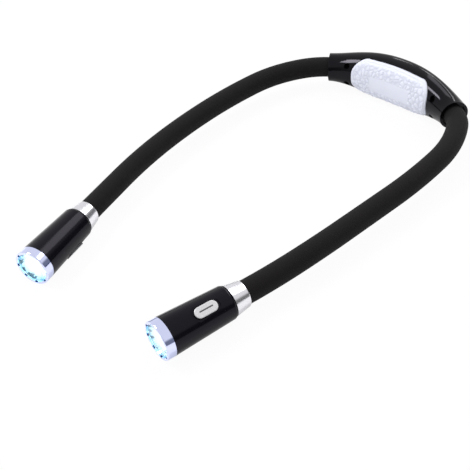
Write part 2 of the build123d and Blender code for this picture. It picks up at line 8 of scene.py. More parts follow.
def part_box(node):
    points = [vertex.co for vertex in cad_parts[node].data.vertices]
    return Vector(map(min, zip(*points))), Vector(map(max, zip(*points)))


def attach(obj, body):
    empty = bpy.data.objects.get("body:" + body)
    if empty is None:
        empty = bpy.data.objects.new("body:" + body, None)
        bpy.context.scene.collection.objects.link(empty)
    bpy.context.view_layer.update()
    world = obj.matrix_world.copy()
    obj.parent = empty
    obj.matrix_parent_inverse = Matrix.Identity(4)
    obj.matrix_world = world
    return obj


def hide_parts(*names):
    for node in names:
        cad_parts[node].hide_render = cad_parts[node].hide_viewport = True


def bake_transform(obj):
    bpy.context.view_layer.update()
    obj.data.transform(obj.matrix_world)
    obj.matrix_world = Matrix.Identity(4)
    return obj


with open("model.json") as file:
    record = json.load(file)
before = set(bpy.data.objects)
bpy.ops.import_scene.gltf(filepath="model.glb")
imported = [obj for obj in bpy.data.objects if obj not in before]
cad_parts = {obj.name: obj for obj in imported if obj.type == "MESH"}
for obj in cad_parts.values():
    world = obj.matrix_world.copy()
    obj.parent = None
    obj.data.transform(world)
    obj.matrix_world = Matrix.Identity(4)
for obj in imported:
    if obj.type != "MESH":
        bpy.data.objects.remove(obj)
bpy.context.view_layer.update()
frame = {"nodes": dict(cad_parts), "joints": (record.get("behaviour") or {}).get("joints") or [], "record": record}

nodes = frame["nodes"]
scene = bpy.context.scene
words = ("left", "right")
print("neck light: model loaded,", len(nodes), "parts")


# The camera, at the photograph's angle: metres, degrees, and millimetres for the lens and the sensor.
cameraPlan = {
    "position": (0.33535, -0.48977, 0.36972),
    "azimuth": 46.592,
    "elevation": 39.592,
    "roll": 5.019,
    "lens": 73.929,
    "sensor": 36,
    "nearest": 0.05,
    "farthest": 20,
}


def addCamera(plan):
    data = bpy.data.cameras.new("camera")
    data.lens = plan["lens"]
    data.sensor_width = plan["sensor"]
    data.clip_start, data.clip_end = plan["nearest"], plan["farthest"]
    camera = bpy.data.objects.new("camera", data)
    scene.collection.objects.link(camera)
    aim = Euler((radians(90 - plan["elevation"]), 0, radians(plan["azimuth"]))).to_matrix().to_4x4()
    roll = Matrix.Rotation(radians(-plan["roll"]), 4, "Z")
    camera.matrix_world = Matrix.Translation(plan["position"]) @ aim @ roll
    scene.camera = camera


addCamera(cameraPlan)
print("neck light: camera placed")


class Amount:
    # a number that varies over a surface, so that sums on it add Math nodes

    def __init__(self, shading, socket):
        self.shading = shading
        self.socket = socket

    def maths(self, operation, *values):
        node = self.shading.add("ShaderNodeMath", {"operation": operation}, dict(enumerate(values)))
        return Amount(self.shading, node.outputs[0])

    def __add__(self, other):
        return self.maths("ADD", self, other)

    def __sub__(self, other):
        return self.maths("SUBTRACT", self, other)

    def __rsub__(self, other):
        return self.maths("SUBTRACT", other, self)

    def __mul__(self, other):
        return self.maths("MULTIPLY", self, other)

    def __abs__(self):
        return self.maths("ABSOLUTE", self)

    def between(self, low, high):
        # 0 below low, 1 above high and smooth between
        inputs = {"Value": self, "From Min": low, "From Max": high}
        node = self.shading.add("ShaderNodeMapRange", {"interpolation_type": "SMOOTHSTEP"}, inputs)
        return Amount(self.shading, node.outputs[0])

    __radd__ = __add__
    __rmul__ = __mul__


class Shading:
    # a node tree, to which nodes are added by type

    def __init__(self, tree):
        self.tree = tree

    def feed(self, socket, value):
        if isinstance(value, Amount):
            self.tree.links.new(value.socket, socket)
        elif isinstance(value, bpy.types.NodeSocket):
            self.tree.links.new(value, socket)
        elif hasattr(value, "__len__") and len(value) == 3 and len(socket.default_value) == 4:
            socket.default_value = (*value, 1)
        else:
            socket.default_value = value

    def add(self, kind, settings=None, inputs=None):
        node = self.tree.nodes.new(kind)
        for key, value in (settings or {}).items():
            setattr(node, key, value)
        for key, value in (inputs or {}).items():
            self.feed(node.inputs[key], value)
        return node

    def split(self, vector, letter):
        parts = self.add("ShaderNodeSeparateXYZ", None, {0: vector})
        return Amount(self, parts.outputs[letter])


class Finish(Shading):
    # one material, whose constant sockets are set at once

    def __init__(self, name, **sockets):
        self.material = bpy.data.materials.new(name)
        self.material.use_nodes = True
        super().__init__(self.material.node_tree)
        self.shader = self.tree.nodes["Principled BSDF"]
        for socket, value in sockets.items():
            self.feed(self.shader.inputs[socket.replace("_", " ")], value)

    def place(self):
        return self.add("ShaderNodeTexCoord").outputs["Object"]

    def noise(self, scale, detail=3.0):
        inputs = {"Vector": self.place(), "Scale": scale, "Detail": detail}
        return Amount(self, self.add("ShaderNodeTexNoise", None, inputs).outputs[0])

    def cells(self, scale):
        inputs = {"Vector": self.place(), "Scale": scale}
        return Amount(self, self.add("ShaderNodeTexVoronoi", {"feature": "F1"}, inputs).outputs["Distance"])

    def vectors(self, operation, *values):
        return self.add("ShaderNodeVectorMath", {"operation": operation}, dict(enumerate(values))).outputs

    def offset(self, origin):
        return self.vectors("SUBTRACT", self.place(), origin)["Vector"]

    def along(self, origin, direction):
        # how far a point lies from an origin, measured along a direction
        return Amount(self, self.vectors("DOT_PRODUCT", self.offset(origin), direction)["Value"])

    def awayFrom(self, origin, direction):
        # how far a point lies from the line through an origin along a direction
        cross = self.vectors("CROSS_PRODUCT", self.offset(origin), direction)["Vector"]
        return Amount(self, self.vectors("LENGTH", cross)["Value"])

    def facing(self, direction):
        # 1 on a face that looks along a direction, and -1 on one that looks against it
        normal = self.add("ShaderNodeNewGeometry").outputs["Normal"]
        return Amount(self, self.vectors("DOT_PRODUCT", normal, direction)["Value"])

    def blend(self, share, first, second):
        return self.add("ShaderNodeMix", {"data_type": "RGBA"}, {0: share, 6: first, 7: second}).outputs[2]

    def colour(self, share, first, second):
        self.feed(self.shader.inputs["Base Color"], self.blend(share, first, second))

    def rough(self, amount):
        self.feed(self.shader.inputs["Roughness"], amount)

    def glow(self, share, first, second):
        self.feed(self.shader.inputs["Emission Color"], self.blend(share, first, second))

    def bump(self, height, strength, distance):
        inputs = {"Height": height, "Strength": strength, "Distance": distance}
        self.feed(self.shader.inputs["Normal"], self.add("ShaderNodeBump", None, inputs).outputs[0])


def scaled(colour, gain, lift=0.0):
    return tuple(channel * gain + lift for channel in colour)


# In all finishes colours are linear, scales are in cells a metre and distances in metres.
glossPlan = {
    "ior": 1.46,
    "shineTint": (0.90, 0.86, 1.0),
    "patchScale": 60.0,
    "patchDetail": 4.0,
    "patchGain": 1.6,
    "patchLift": 0.001,
    "patchHaze": 0.05,
    "speckScale": 2600.0,
    "speckEdge": (0.05, 0.11),
    "speckHaze": 0.12,
    "speckRise": 0.02,
    "waveScale": 26.0,
    "waveDetail": 1.0,
    "bumpDistance": 0.0004,
    "housing gloss": {"colour": (0.0018, 0.0018, 0.0024), "polish": 0.06, "waviness": 0.08, "shine": 0.20},
    "barrel gloss": {"colour": (0.0014, 0.0014, 0.0030), "polish": 0.11, "waviness": 0.05, "shine": 0.22},
}


def glossBlack(name, plan):
    # moulded black gloss: faint flow waves, fine dust specks and small changes of polish
    own = plan[name]
    made = Finish(name, IOR=plan["ior"], Specular_IOR_Level=own["shine"], Specular_Tint=plan["shineTint"])
    patches = made.noise(plan["patchScale"], plan["patchDetail"])
    specks = made.cells(plan["speckScale"]).between(*plan["speckEdge"])
    made.colour(patches, own["colour"], scaled(own["colour"], plan["patchGain"], plan["patchLift"]))
    made.rough(own["polish"] + patches * plan["patchHaze"] + (1.0 - specks) * plan["speckHaze"])
    waves = made.noise(plan["waveScale"], plan["waveDetail"])
    made.bump(waves + specks * plan["speckRise"], own["waviness"], plan["bumpDistance"])
    return made.material


foamPlan = {
    "ior": 1.4,
    "shine": 0.16,
    "sheen": 0.03,
    "sheenRoughness": 0.6,
    "shadeScale": 38.0,
    "shadeShare": 0.6,
    "grainScale": 2300.0,
    "grainDetail": 4.0,
    "grainShare": 0.4,
    "poreScale": 1500.0,
    "poreRise": 0.5,
    "dark": (0.0048, 0.0043, 0.0047),
    "pale": (0.0098, 0.0086, 0.0092),
    "roughness": 0.72,
    "grainHaze": 0.18,
    "bumpStrength": 0.35,
    "bumpDistance": 0.0004,
}


def sleeveFoam(plan):
    # matt foam rubber: very fine open grain, slow shade changes along the arm
    made = Finish("sleeve foam", IOR=plan["ior"], Specular_IOR_Level=plan["shine"],
                  Sheen_Weight=plan["sheen"], Sheen_Roughness=plan["sheenRoughness"])
    shades = made.noise(plan["shadeScale"])
    grain = made.noise(plan["grainScale"], plan["grainDetail"])
    made.colour(shades * plan["shadeShare"] + grain * plan["grainShare"], plan["dark"], plan["pale"])
    made.rough(plan["roughness"] + grain * plan["grainHaze"])
    pores = made.cells(plan["poreScale"])
    made.bump(grain + pores * plan["poreRise"], plan["bumpStrength"], plan["bumpDistance"])
    return made.material


siliconePlan = {
    "ior": 1.41,
    "depth": 0.12,
    "depthRadius": (0.004, 0.004, 0.005),
    "depthScale": 0.4,
    "shadeScale": 45.0,
    "shadeShare": 0.15,
    "paintedShadeShare": 0.85,
    # dark and pale are the ends of the painted bump shade, mixed with tone that differs at random
    "dark": (0.65, 0.67, 0.78),
    "pale": (0.79, 0.81, 0.92),
    "roughness": 0.34,
    "hazeScale": 420.0,
    "haze": 0.16,
    "skinScale": 1800.0,
    "bumpStrength": 0.12,
    "bumpDistance": 0.0003,
}


def padSilicone(plan):
    # milky soft silicone with a fine satin skin, with painted shade: darker in the gaps between its bumps and
    # paler on their tops
    made = Finish("pad silicone", IOR=plan["ior"], Subsurface_Weight=plan["depth"],
                  Subsurface_Radius=plan["depthRadius"], Subsurface_Scale=plan["depthScale"])
    paintedBumpShade = Amount(made, made.add("ShaderNodeAttribute", {"attribute_name": "paintedBumpShade"}).outputs["Fac"])
    # painted shade from the pad's vertex layer, mixed with tone that differs at random
    toneAndPaintedShade = paintedBumpShade * plan["paintedShadeShare"] + made.noise(plan["shadeScale"]) * plan["shadeShare"]
    made.colour(toneAndPaintedShade, plan["dark"], plan["pale"])
    made.rough(plan["roughness"] + made.noise(plan["hazeScale"]) * plan["haze"])
    made.bump(made.noise(plan["skinScale"]), plan["bumpStrength"], plan["bumpDistance"])
    return made.material


platingPlan = {
    "shine": 0.5,
    "bright": (0.86, 0.86, 0.90),
    "hazyGain": 0.93,
    "hazeScale": 120.0,
    "hazeDetail": 4.0,
    "roughness": 0.15,
    "haze": 0.08,
    "grainScale": 900.0,
    "grainDetail": 2.0,
    "bumpStrength": 0.04,
    "bumpDistance": 0.0002,
}


def ferrulePlating(plan):
    # satin plating with a faint grain and a few hazy patches
    made = Finish("plating", Metallic=1.0, Specular_IOR_Level=plan["shine"])
    haze = made.noise(plan["hazeScale"], plan["hazeDetail"])
    made.colour(haze, plan["bright"], scaled(plan["bright"], plan["hazyGain"]))
    made.rough(plan["roughness"] + haze * plan["haze"])
    grain = made.noise(plan["grainScale"], plan["grainDetail"])
    made.bump(grain, plan["bumpStrength"], plan["bumpDistance"])
    return made.material


# frontDepth is behind the head's front, and lipEdge and notchEdge are radii from the head's axis
bezelPlan = {
    # painted lamp light: a glow over the whole bezel, pale blue on the lip's inner wall, and dark shade in the
    # notches
    "paintedLampGlow": (0.010, 0.030, 0.10),
    "hazeScale": 120.0,
    "hazeDetail": 4.0,
    "roughness": 0.05,
    "haze": 0.07,
    "frontDepth": (0.00006, 0.00014),
    "lipEdge": (0.0108, 0.0110),
    "notchEdge": (0.00978, 0.00985),
    "bright": (0.77, 0.79, 0.97),
    "hazy": (0.69, 0.71, 0.92),
    "lipPaintedLight": (0.42, 0.72, 0.92),
    "notchPaintedShade": (0.010, 0.085, 0.17),
}


def bezelPlating(word, plan):
    # polished plating with a painted pale-blue glow of the lamp all over it; the lip's inner wall is painted the
    # lamp's pale blue light, and its notches are painted dark shade
    head = headPlan[word]
    made = Finish(word + " bezel plating", Metallic=1.0, Emission_Color=plan["paintedLampGlow"], Emission_Strength=1.0)
    haze = made.noise(plan["hazeScale"], plan["hazeDetail"])
    ahead = made.along(head["front"], head["axis"])
    outward = made.awayFrom(head["front"], head["axis"])
    behind = (ahead * -1.0).between(*plan["frontDepth"])
    inside = 1.0 - outward.between(*plan["lipEdge"])
    notch = outward.between(*plan["notchEdge"])
    plain = made.blend(haze, plan["bright"], plan["hazy"])
    # painted light on the lip's inner wall and painted shade in its notches
    lit = made.blend(notch, plan["lipPaintedLight"], plan["notchPaintedShade"])
    made.colour(behind * inside, plain, lit)
    made.rough(plan["roughness"] + haze * plan["haze"])
    return made.material


# grooveWidth and grooveLength are from the button's middle, and sideEdge is a cosine
buttonPlan = {
    "metallic": 0.35,
    "ior": 1.5,
    "grainScale": 1900.0,
    "grooveWidth": (0.00030, 0.00042),
    "grooveLength": (0.0041, 0.0043),
    "sideEdge": (-0.55, -0.35),
    "silver": (0.60, 0.60, 0.62),
    "paleSilver": (0.70, 0.70, 0.71),
    "side": (0.05, 0.05, 0.055),
    "groove": (0.15, 0.15, 0.16),
    "roughness": 0.34,
    "grainHaze": 0.14,
    "bumpStrength": 0.1,
    "bumpDistance": 0.0002,
}


def buttonSilver(word, plan):
    # satin silver on top with a dark groove along the middle, and dark sides
    head = headPlan[word]
    made = Finish(word + " button silver", Metallic=plan["metallic"], IOR=plan["ior"])
    grain = made.noise(plan["grainScale"])
    lengthwise = abs(made.along(head["button"], head["axis"])).between(*plan["grooveLength"])
    across = abs(made.along(head["button"], head["across"])).between(*plan["grooveWidth"])
    silver = made.blend(grain, plan["silver"], plan["paleSilver"])
    capped = made.blend(made.facing(head["inward"]).between(*plan["sideEdge"]), silver, plan["side"])
    made.colour((1.0 - across) * (1.0 - lengthwise), capped, plan["groove"])
    made.rough(plan["roughness"] + grain * plan["grainHaze"])
    made.bump(grain, plan["bumpStrength"], plan["bumpDistance"])
    return made.material


lensPlan = {
    "ior": 1.49,
    "markScale": 300.0,
    "markDetail": 4.0,
    "faint": (0.97, 0.985, 1.0),
    "clear": (1.0, 1.0, 1.0),
    "roughness": 0.005,
    "markHaze": 0.02,
}


def lensClear(plan):
    # clear acrylic with a few faint marks
    made = Finish("lens clear", Transmission_Weight=1.0, IOR=plan["ior"])
    marks = made.noise(plan["markScale"], plan["markDetail"])
    made.colour(marks, plan["faint"], plan["clear"])
    made.rough(plan["roughness"] + marks * plan["markHaze"])
    return made.material


# rimEdge and shadedStart are radii from the head's axis, and shadedEdge is a level of the noise
bowlPlan = {
    "metallic": 0.9,
    "facetScale": 420.0,
    "rimEdge": (0.0066, 0.0102),
    "shadedScale": 300.0,
    "shadedDetail": 1.0,
    "shadedEdge": (0.50, 0.56),
    "shadedStart": (0.0078, 0.0090),
    # these colours and glows are painted lamp light, and the shaded ones painted shade
    "middle": (0.72, 0.86, 0.92),
    "rim": (0.34, 0.56, 0.72),
    "shaded": (0.02, 0.11, 0.16),
    "middleGlow": (0.72, 0.95, 1.0),
    "rimGlow": (0.07, 0.34, 0.52),
    "shadedGlow": (0.004, 0.06, 0.10),
    "roughness": 0.12,
    "facetHaze": 0.1,
    "bumpStrength": 0.15,
    "bumpDistance": 0.0005,
}


def reflectorBowl(word, plan):
    # the lamp's faceted bowl, painted with the lamp's light: a painted glow and tint, white round the lamp and
    # bluer outwards, and painted dark shade in patches near its rim
    head = headPlan[word]
    made = Finish(word + " reflector bowl", Metallic=plan["metallic"], Emission_Strength=1.0)
    facets = made.cells(plan["facetScale"])
    outward = made.awayFrom(head["front"], head["axis"])
    rim = outward.between(*plan["rimEdge"])
    patches = made.noise(plan["shadedScale"], plan["shadedDetail"]).between(*plan["shadedEdge"])
    shaded = patches * outward.between(*plan["shadedStart"])
    # painted light and shade, both in the bowl's colour and in its glow
    made.colour(shaded, made.blend(rim, plan["middle"], plan["rim"]), plan["shaded"])
    made.glow(shaded, made.blend(rim, plan["middleGlow"], plan["rimGlow"]), plan["shadedGlow"])
    made.rough(plan["roughness"] + facets * plan["facetHaze"])
    made.bump(facets, plan["bumpStrength"], plan["bumpDistance"])
    return made.material


lampPlan = {
    "strength": 6.0,
    "ior": 1.5,
    "grainScale": 1400.0,
    "phosphor": (0.86, 0.90, 0.62),
    "palePhosphor": (0.95, 0.95, 0.80),
    "glow": (0.55, 0.82, 1.0),
    "paleGlow": (0.75, 0.92, 1.0),
    "roughness": 0.2,
    "grainHaze": 0.1,
}


def lampLit(plan):
    # yellowish phosphor, lit in cold white
    made = Finish("lamp lit", Emission_Strength=plan["strength"], IOR=plan["ior"])
    grain = made.noise(plan["grainScale"])
    made.colour(grain, plan["phosphor"], plan["palePhosphor"])
    made.glow(grain, plan["glow"], plan["paleGlow"])
    made.rough(plan["roughness"] + grain * plan["grainHaze"])
    return made.material


plasticPlan = {
    "ior": 1.48,
    "shadeScale": 90.0,
    "paleGain": 1.25,
    "grainScale": 1300.0,
    "grainHaze": 0.15,
    "bumpStrength": 0.2,
    "bumpDistance": 0.0003,
    "tray plastic": {"colour": (0.03, 0.03, 0.032), "roughness": 0.5},
    "switch plastic": {"colour": (0.10, 0.10, 0.10), "roughness": 0.45},
    "lead insulation": {"colour": (0.42, 0.03, 0.02), "roughness": 0.4},
}


def mouldedPlastic(name, plan):
    # plain plastic with a fine grain, for the pieces inside
    own = plan[name]
    made = Finish(name, IOR=plan["ior"])
    grain = made.noise(plan["grainScale"])
    made.colour(made.noise(plan["shadeScale"]), own["colour"], scaled(own["colour"], plan["paleGain"]))
    made.rough(own["roughness"] + grain * plan["grainHaze"])
    made.bump(grain, plan["bumpStrength"], plan["bumpDistance"])
    return made.material


drawnPlan = {
    "grainScale": 700.0,
    "grainDetail": 2.0,
    "darkGain": 0.85,
    "roughness": 0.24,
    "grainHaze": 0.16,
    "bumpStrength": 0.1,
    "bumpDistance": 0.0002,
    "contact plating": (0.70, 0.69, 0.66),
    "core wire": (0.66, 0.66, 0.67),
}


def drawnMetal(name, plan):
    # bare wire and spring metal with a fine grain
    made = Finish(name, Metallic=1.0)
    grain = made.noise(plan["grainScale"], plan["grainDetail"])
    made.colour(grain, plan[name], scaled(plan[name], plan["darkGain"]))
    made.rough(plan["roughness"] + grain * plan["grainHaze"])
    made.bump(grain, plan["bumpStrength"], plan["bumpDistance"])
    return made.material


filmPlan = {
    "ior": 1.5,
    "bandEdge": (0.0125, 0.0128),
    "green": (0.03, 0.11, 0.07),
    "band": (0.62, 0.62, 0.58),
    "roughness": 0.25,
    "hazeScale": 500.0,
    "haze": 0.1,
}


def cellFilm(plan):
    # the cells' sleeve: plain dark green with a pale band at the contact end
    made = Finish("cell film", IOR=plan["ior"])
    band = made.split(made.place(), "X").between(*plan["bandEdge"])
    made.colour(band, plan["green"], plan["band"])
    made.rough(plan["roughness"] + made.noise(plan["hazeScale"]) * plan["haze"])
    return made.material


boardPlan = {
    "ior": 1.5,
    "trackScale": 420.0,
    "trackDetail": 1.0,
    "trackEdge": (0.49, 0.53),
    "green": (0.012, 0.085, 0.03),
    "track": (0.03, 0.16, 0.06),
    "roughness": 0.3,
    "trackHaze": 0.1,
    "bumpStrength": 0.2,
    "bumpDistance": 0.0002,
}


def boardGreen(plan):
    # green boards, paler along their tracks
    made = Finish("board green", IOR=plan["ior"])
    tracks = made.noise(plan["trackScale"], plan["trackDetail"]).between(*plan["trackEdge"])
    made.colour(tracks, plan["green"], plan["track"])
    made.rough(plan["roughness"] + tracks * plan["trackHaze"])
    made.bump(tracks, plan["bumpStrength"], plan["bumpDistance"])
    return made.material


def headPlaces(word):
    # a head's axis, the middles of its front and its button, and the button's directions
    joints = {joint["name"]: joint for joint in frame["joints"]}
    twist, press = joints[word + "_head_twist"], joints[word + "_button_press"]
    axis, inward = Vector(twist["axis"]).normalized(), Vector(press["axis"]).normalized()
    start = Vector(twist["pos_m"])
    reach = max((vert.co - start).dot(axis) for vert in nodes[word + "_bezel"].data.vertices)
    low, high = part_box(word + "_button")
    return {"axis": axis, "front": start + axis * reach, "button": (low + high) / 2,
            "across": axis.cross(inward), "inward": inward}


headPlan = {word: headPlaces(word) for word in words}

finishes = {
    "housing_black": glossBlack("housing gloss", glossPlan),
    "barrel_black": glossBlack("barrel gloss", glossPlan),
    "pad_white": padSilicone(siliconePlan),
    "sleeve_rubber": sleeveFoam(foamPlan),
    "bright_plating": ferrulePlating(platingPlan),
    "lens_clear": lensClear(lensPlan),
    "lamp_chip": lampLit(lampPlan),
    "tray_plastic": mouldedPlastic("tray plastic", plasticPlan),
    "switch_plastic": mouldedPlastic("switch plastic", plasticPlan),
    "lead_insulation": mouldedPlastic("lead insulation", plasticPlan),
    "contact_metal": drawnMetal("contact plating", drawnPlan),
    "core_metal": drawnMetal("core wire", drawnPlan),
    "cell_label": cellFilm(filmPlan),
    "board_green": boardGreen(boardPlan),
}

ownFinishes = {}
for word in words:
    ownFinishes[word + "_bezel"] = bezelPlating(word, bezelPlan)
    ownFinishes[word + "_reflector"] = reflectorBowl(word, bowlPlan)
    ownFinishes[word + "_button"] = buttonSilver(word, buttonPlan)

slotOfNode = {part["node"]: part["material_slot"] for part in frame["record"]["subparts"]}
for name, part in nodes.items():
    part.data.materials.clear()
    part.data.materials.append(ownFinishes.get(name) or finishes[slotOfNode[name]])
print("neck light: finishes made")


# The arms lie in one tilted plane, as runs that each turn by an angle. Metres and degrees, but straightBelow
# is in radians.
armPlan = {
    "spineRadius": 0.099,
    "halfAngle": 32.0,
    "axisHeight": 0.0155,
    "tilt": 0.84290,
    "left": {
        "side": -1,
        "runs": [0.019, 0.040, 0.048, 0.040, 0.0464, 0.036],
        "turns": [22.1, 28.0, 8.6, 5.8, 8.1, 0.0],
    },
    "right": {
        "side": 1,
        "runs": [0.013, 0.040, 0.048, 0.040, 0.040, 0.036],
        "turns": [-29.8, -24.8, -7.8, 0.0, -2.5, -4.3],
    },
    "ringSpacing": 0.002,
    "straightBelow": 1e-6,
    "weld": 2e-6,
    "smoothAngle": 40,
}

# Each line starts inside the housing and ends beyond the arm's end, in the head, at heights above the arm's
# plane. The spigot is the sleeve's narrow end in the ferrule, as length and radius, and the tab is the wire's
# flat end, as length, width and thickness.
linePlan = {
    "Sleeve": {
        "radius": 0.007, "bore": 0.003, "sides": 48, "inside": 0.0065, "beyond": 0.0, "heights": [0],
        "spigot": (0.0040, 0.0063), "slot": "sleeve_rubber",
        "nodes": [("sleeve_root", "sleeve_bend_1"), ("sleeve_mid", "sleeve_bend_2"),
                  ("sleeve_front", "sleeve_bend_3")],
    },
    "Wire": {
        "radius": 0.00125, "bore": 0, "sides": 16, "inside": 0.0086, "beyond": 0.0061, "heights": [0],
        "tab": (0.0015, 0.0050, 0.0016), "slot": "core_metal",
        "nodes": [("core_wire_1",), ("core_wire_2",), ("core_wire_3",)],
    },
    "Leads": {
        "radius": 0.0006, "bore": 0, "sides": 12, "inside": 0.0135, "beyond": 0.0128,
        "heights": [0.002, -0.002], "slot": "lead_insulation",
        "nodes": [("leads_1",), ("leads_2",), ("leads_3",)],
    },
}

# an arm's three stretches, from step to step, and the step that bends in each
stretchPlan = {"Rear": (0, 2, 2), "Middle": (3, 4, 4), "Front": (5, 7, 6)}
firstStep, lastStep = 0, 7

mouthDrop = armPlan["spineRadius"] * (1 - cos(radians(armPlan["halfAngle"])))
armTilt = Matrix.Rotation(radians(armPlan["tilt"]), 4, "X")
armFrame = Matrix.Translation((0, -mouthDrop, armPlan["axisHeight"])) @ armTilt


def pointing(heading):
    return Vector((cos(heading), sin(heading), 0))


def turnedAt(place, heading):
    return Matrix.Translation(place) @ Matrix.Rotation(heading, 4, "Z")


def grownItems(geometry, kind):
    return [item for item in geometry if isinstance(item, kind)]


def armSteps(arm, inside, beyond):
    # every run as (start, heading, length, turn), from inside the housing to inside the head
    side, spine = arm["side"], armPlan["spineRadius"]
    back = radians(armPlan["halfAngle"]) - inside / spine
    place = Vector((side * spine * sin(back), spine * cos(back) - spine + mouthDrop, 0))
    heading = (0 if side > 0 else radians(180)) - side * back
    steps = []
    turns = [radians(turn) for turn in arm["turns"]]
    for length, turn in zip([inside, *arm["runs"], beyond], [-side * inside / spine, *turns, 0]):
        steps.append((place.copy(), heading, length, turn))
        if abs(turn) < armPlan["straightBelow"]:
            place += pointing(heading) * length
        else:
            radius = length / turn
            after = heading + turn
            place += Vector((sin(after) - sin(heading), cos(heading) - cos(after), 0)) * radius
        heading += turn
    return steps


def runAlong(mesh, edges, steps):
    # carries a ring of edges along the runs and gives back the last ring
    for place, heading, length, turn in steps:
        if length <= 0:
            continue
        count = max(1, ceil(length / armPlan["ringSpacing"]))
        forward = pointing(heading)
        if abs(turn) < armPlan["straightBelow"]:
            for _ in range(count):
                grown = bmesh.ops.extrude_edge_only(mesh, edges=edges)["geom"]
                moved = grownItems(grown, bmesh.types.BMVert)
                bmesh.ops.translate(mesh, verts=moved, vec=forward * length / count)
                edges = grownItems(grown, bmesh.types.BMEdge)
        else:
            centre = place + Vector((-forward.y, forward.x, 0)) * length / turn
            spun = bmesh.ops.spin(mesh, geom=edges, cent=centre, axis=(0, 0, 1), angle=turn, steps=count)
            edges = grownItems(spun["geom_last"], bmesh.types.BMEdge)
    return edges


def narrowRing(mesh, edges, share):
    # a flat step inwards from a ring of edges
    centre = sum((vert.co for edge in edges for vert in edge.verts), Vector()) / (2 * len(edges))
    grown = bmesh.ops.extrude_edge_only(mesh, edges=edges)["geom"]
    moved = grownItems(grown, bmesh.types.BMVert)
    bmesh.ops.scale(mesh, verts=moved, vec=(share, share, share), space=Matrix.Translation(-centre))
    return grownItems(grown, bmesh.types.BMEdge)


def addTube(mesh, steps, line, height, spigotStep):
    # a bar along the steps, or a tube if it has a bore, closed at both ends
    radius, bore = line["radius"], line["bore"]
    place, heading = steps[0][0] + Vector((0, 0, height)), steps[0][1]
    upright = turnedAt(place, heading) @ Matrix.Rotation(radians(90), 4, "Y")
    ring = bmesh.ops.create_circle(mesh, segments=line["sides"], radius=radius, matrix=upright)["verts"]
    start = [mesh.edges.get(pair) for pair in zip(ring, ring[1:] + ring[:1])]
    end, endRadius = runAlong(mesh, start, steps), radius
    if spigotStep:
        endRadius = line["spigot"][1]
        end = runAlong(mesh, narrowRing(mesh, end, endRadius / radius), [spigotStep])
        steps = [*steps, spigotStep]
    if bore:
        # the bore's last ring falls on the narrowed end ring, and finishPiece merges the two
        runAlong(mesh, narrowRing(mesh, start, bore / radius), steps)
        narrowRing(mesh, end, bore / endRadius)
    else:
        bmesh.ops.holes_fill(mesh, edges=start, sides=0)
        bmesh.ops.holes_fill(mesh, edges=end, sides=0)


def addTab(mesh, place, heading, size):
    # a flat tab that starts at a place and points along a heading
    middle = Matrix.Translation((size[0] / 2, 0, 0)) @ Matrix.Diagonal((*size, 1))
    bmesh.ops.create_cube(mesh, size=1, matrix=turnedAt(place, heading) @ middle)


def finishPiece(name, mesh, slot, smoothAngle):
    # turns the faces outwards and makes the object, with its place in its mesh
    bmesh.ops.remove_doubles(mesh, verts=mesh.verts, dist=armPlan["weld"])
    bmesh.ops.recalc_face_normals(mesh, faces=mesh.faces)
    for face in mesh.faces:
        face.smooth = True
    for edge in mesh.edges:
        edge.smooth = not edge.is_manifold or edge.calc_face_angle(0) < radians(smoothAngle)
    data = bpy.data.meshes.new(name)
    mesh.to_mesh(data)
    mesh.free()
    data.materials.append(finishes[slot])
    piece = bpy.data.objects.new(name, data)
    scene.collection.objects.link(piece)
    return piece


def armLine(name, arm, line, first, last):
    # one stretch of sleeve, wire or leads, over the steps from first to last
    inside = line["inside"] if first == firstStep else 0
    beyond = line["beyond"] if last == lastStep else 0
    steps = armSteps(arm, inside, beyond)
    kept = [step for number, step in enumerate(steps) if first <= number <= last and step[2] > 0]
    mesh = bmesh.new()
    armEnd, heading = steps[lastStep][:2]
    spigotStep = None
    if "spigot" in line and last == lastStep:
        spigotStep = (armEnd, heading, line["spigot"][0], 0)
    for height in line["heights"]:
        addTube(mesh, kept, line, height, spigotStep)
    if "tab" in line and last == lastStep:
        addTab(mesh, armEnd + pointing(heading) * line["beyond"], heading, line["tab"])
    if "tab" in line and first == firstStep:
        start = armSteps(arm, line["inside"] + line["tab"][0], 0)[firstStep]
        addTab(mesh, start[0], start[1], line["tab"])
    bmesh.ops.transform(mesh, matrix=armFrame, verts=mesh.verts)
    return finishPiece(name, mesh, line["slot"], armPlan["smoothAngle"])


def buildArm(word):
    arm = armPlan[word]
    bends = armSteps(arm, 0, 0)
    for number, (stretch, (first, last, bend)) in enumerate(stretchPlan.items()):
        start = armFrame @ bends[bend][0]
        end = armFrame @ bends[bend + 1][0]
        for kind, line in linePlan.items():
            piece = armLine(word + kind + stretch, arm, line, first, last)
            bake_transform(piece)
            covered = [word + "_" + node for node in line["nodes"][number]]
            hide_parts(*covered)


for word in words:
    buildArm(word)
print("neck light: arms built")


# Sizes in metres. The border zone carries small bumps between a raised rim and a smooth middle, and all of it
# fades out where the skin turns away from the front: faceStart and faceRange are parts of a unit direction.
padPlan = {
    "halfLength": 0.0315,
    "halfHeight": 0.0127,
    "bulge": 0.0015,
    "corner": 0.0095,
    "weld": 1e-6,
    "voxel": 0.00032,
    "smoothPasses": 6,
    "smoothFactor": 0.5,
    "smoothAngle": 75,
    "faceStart": 0.05,
    "faceRange": 0.3,
    "rimPlace": 0.0006,
    "rimWidth": 0.0004,
    "rimRise": 0.0003,
    "bumpStart": 0.0011,
    "bumpStop": 0.0003,
    "bumpFade": 0.0008,
    "bumpRise": 0.00040,
    "bumpSize": 0.0030,
    "bumpDepth": 0.3,
    "bumpGap": 0.42,
    # plainShade is the pad's painted shade where it has no bumps
    "plainShade": 0.8,
    "bareLength": 0.0158,
    "bareHeight": 0.0050,
    "bareCorner": 0.0012,
}


def insideOutline(x, z, halfLength, halfHeight, corner):
    # distance from a rounded outline, positive inside
    dx, dz = abs(x) - halfLength + corner, abs(z) - halfHeight + corner
    return corner - hypot(max(dx, 0), max(dz, 0)) - min(max(dx, dz), 0)


def ease(value):
    value = min(max(value, 0), 1)
    return value * value * (3 - 2 * value)


